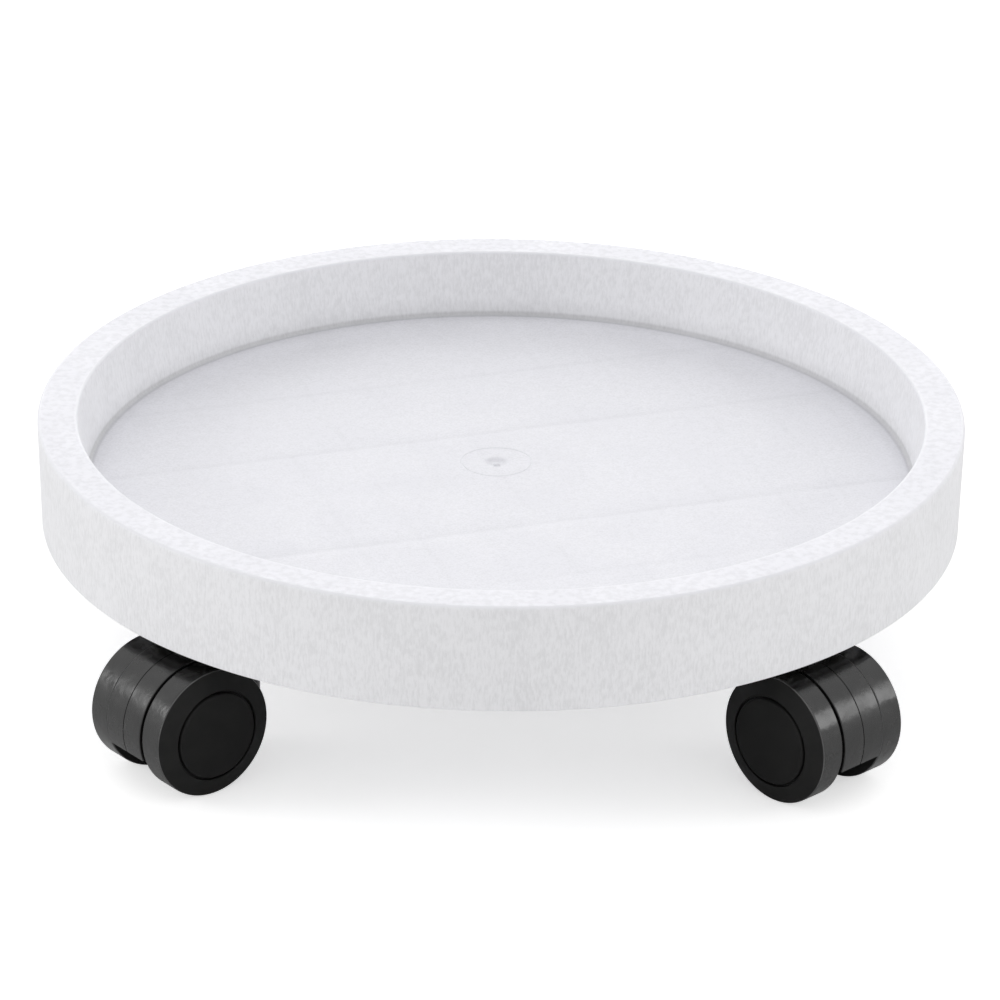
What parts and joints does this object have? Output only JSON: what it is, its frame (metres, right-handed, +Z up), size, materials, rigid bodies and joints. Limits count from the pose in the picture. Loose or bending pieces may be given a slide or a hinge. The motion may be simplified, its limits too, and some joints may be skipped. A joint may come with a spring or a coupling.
{
  "type": "plant caddy",
  "caption": "Round rimmed plant caddy: a moulded tray that carries a potted plant on swivelling twin-wheel casters.",
  "frame": {"origin": "centre of the tray, on the floor that the wheels stand on", "axes": "+Z up along the tray axis; the picture looks along +Y, with +X to its right"},
  "size_m": [0.355, 0.355, 0.0985],
  "materials": {
    "tray_white": "satin white moulded plastic with a fine grain",
    "hood_black": "satin black moulded nylon",
    "wheel_black": "satin black moulded nylon with a polished tread",
    "cap_black": "fine matt black",
    "plate_steel": "black coated sheet steel",
    "screw_steel": "black zinc plated",
    "pin_steel": "turned zinc plated steel",
    "clip_steel": "blued spring steel",
    "washer_nylon": "natural nylon"
  },
  "bodies": {
    "tray_body": {"tray": "tray_white", "front_left_top_plate": "plate_steel", "front_left_plate_screws": "screw_steel", "front_left_swivel_pin": "pin_steel", "front_left_pin_clip": "clip_steel", "front_right_top_plate": "plate_steel", "front_right_plate_screws": "screw_steel", "front_right_swivel_pin": "pin_steel", "front_right_pin_clip": "clip_steel", "rear_right_top_plate": "plate_steel", "rear_right_plate_screws": "screw_steel", "rear_right_swivel_pin": "pin_steel", "rear_right_pin_clip": "clip_steel", "rear_left_top_plate": "plate_steel", "rear_left_plate_screws": "screw_steel", "rear_left_swivel_pin": "pin_steel", "rear_left_pin_clip": "clip_steel"},
    "front_left_fork": {"front_left_thrust_washer": "washer_nylon", "front_left_hood": "hood_black", "front_left_axle": "pin_steel", "front_left_axle_clips": "clip_steel"},
    "front_left_left_roller": {"front_left_left_wheel": "wheel_black", "front_left_left_cap": "cap_black"},
    "front_left_right_roller": {"front_left_right_wheel": "wheel_black", "front_left_right_cap": "cap_black"},
    "front_right_fork": {"front_right_thrust_washer": "washer_nylon", "front_right_hood": "hood_black", "front_right_axle": "pin_steel", "front_right_axle_clips": "clip_steel"},
    "front_right_left_roller": {"front_right_left_wheel": "wheel_black", "front_right_left_cap": "cap_black"},
    "front_right_right_roller": {"front_right_right_wheel": "wheel_black", "front_right_right_cap": "cap_black"},
    "rear_right_fork": {"rear_right_thrust_washer": "washer_nylon", "rear_right_hood": "hood_black", "rear_right_axle": "pin_steel", "rear_right_axle_clips": "clip_steel"},
    "rear_right_left_roller": {"rear_right_left_wheel": "wheel_black", "rear_right_left_cap": "cap_black"},
    "rear_right_right_roller": {"rear_right_right_wheel": "wheel_black", "rear_right_right_cap": "cap_black"},
    "rear_left_fork": {"rear_left_thrust_washer": "washer_nylon", "rear_left_hood": "hood_black", "rear_left_axle": "pin_steel", "rear_left_axle_clips": "clip_steel"},
    "rear_left_left_roller": {"rear_left_left_wheel": "wheel_black", "rear_left_left_cap": "cap_black"},
    "rear_left_right_roller": {"rear_left_right_wheel": "wheel_black", "rear_left_right_cap": "cap_black"}
  },
  "joints": [
    {"name": "front_left_swivel", "type": "hinge", "parent": "tray_body", "child": "front_left_fork", "pos_m": [-0.10642, -0.10642, 0.025], "axis": [0, 0, 1], "continuous": true},
    {"name": "front_left_left_spin", "type": "hinge", "parent": "front_left_fork", "child": "front_left_left_roller", "pos_m": [-0.11857, -0.11605, 0.025], "axis": [0.6211, -0.7837, 0], "continuous": true},
    {"name": "front_left_right_spin", "type": "hinge", "parent": "front_left_fork", "child": "front_left_right_roller", "pos_m": [-0.11857, -0.11605, 0.025], "axis": [0.6211, -0.7837, 0], "continuous": true},
    {"name": "front_right_swivel", "type": "hinge", "parent": "tray_body", "child": "front_right_fork", "pos_m": [0.10642, -0.10642, 0.025], "axis": [0, 0, 1], "continuous": true},
    {"name": "front_right_left_spin", "type": "hinge", "parent": "front_right_fork", "child": "front_right_left_roller", "pos_m": [0.11744, -0.11732, 0.025], "axis": [0.7034, 0.7108, 0], "continuous": true},
    {"name": "front_right_right_spin", "type": "hinge", "parent": "front_right_fork", "child": "front_right_right_roller", "pos_m": [0.11744, -0.11732, 0.025], "axis": [0.7034, 0.7108, 0], "continuous": true},
    {"name": "rear_right_swivel", "type": "hinge", "parent": "tray_body", "child": "rear_right_fork", "pos_m": [0.10642, 0.10642, 0.025], "axis": [0, 0, 1], "continuous": true},
    {"name": "rear_right_left_spin", "type": "hinge", "parent": "rear_right_fork", "child": "rear_right_left_roller", "pos_m": [0.11679, 0.11794, 0.025], "axis": [-0.7431, 0.6691, 0], "continuous": true},
    {"name": "rear_right_right_spin", "type": "hinge", "parent": "rear_right_fork", "child": "rear_right_right_roller", "pos_m": [0.11679, 0.11794, 0.025], "axis": [-0.7431, 0.6691, 0], "continuous": true},
    {"name": "rear_left_swivel", "type": "hinge", "parent": "tray_body", "child": "rear_left_fork", "pos_m": [-0.10642, 0.10642, 0.025], "axis": [0, 0, 1], "continuous": true},
    {"name": "rear_left_left_spin", "type": "hinge", "parent": "rear_left_fork", "child": "rear_left_left_roller", "pos_m": [-0.11659, 0.11812, 0.025], "axis": [-0.7547, -0.6561, 0], "continuous": true},
    {"name": "rear_left_right_spin", "type": "hinge", "parent": "rear_left_fork", "child": "rear_left_right_roller", "pos_m": [-0.11659, 0.11812, 0.025], "axis": [-0.7547, -0.6561, 0], "continuous": true}
  ]
}
